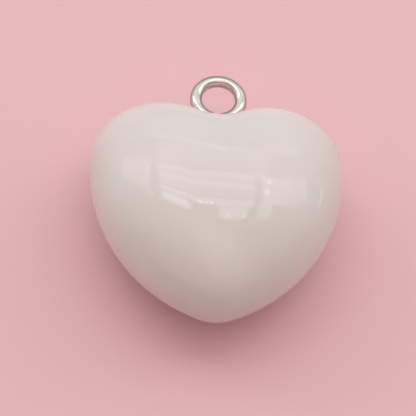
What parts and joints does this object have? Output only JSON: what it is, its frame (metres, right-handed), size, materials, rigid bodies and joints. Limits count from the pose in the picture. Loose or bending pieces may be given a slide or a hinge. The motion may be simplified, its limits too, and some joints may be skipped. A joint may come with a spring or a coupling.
{
  "type": "heart charm",
  "caption": "Puffed solid heart charm in glossy off-white resin, with a plated wire screw eye set in the notch for a jump ring or cord.",
  "frame": {"origin": "on the surface the charm lies on, under the middle of its whole length and width", "axes": "+Z out of the front face, +Y from the tip of the heart towards the eye, +X across the lobes"},
  "size_m": [0.0226, 0.0256, 0.0124],
  "materials": {
    "resin": "polished, slightly milky off-white",
    "plated_wire": "bright nickel-coloured plating with fine handling marks"
  },
  "bodies": {
    "root": {"heart_body": "resin", "screw_eye": "plated_wire"}
  },
  "joints": []
}
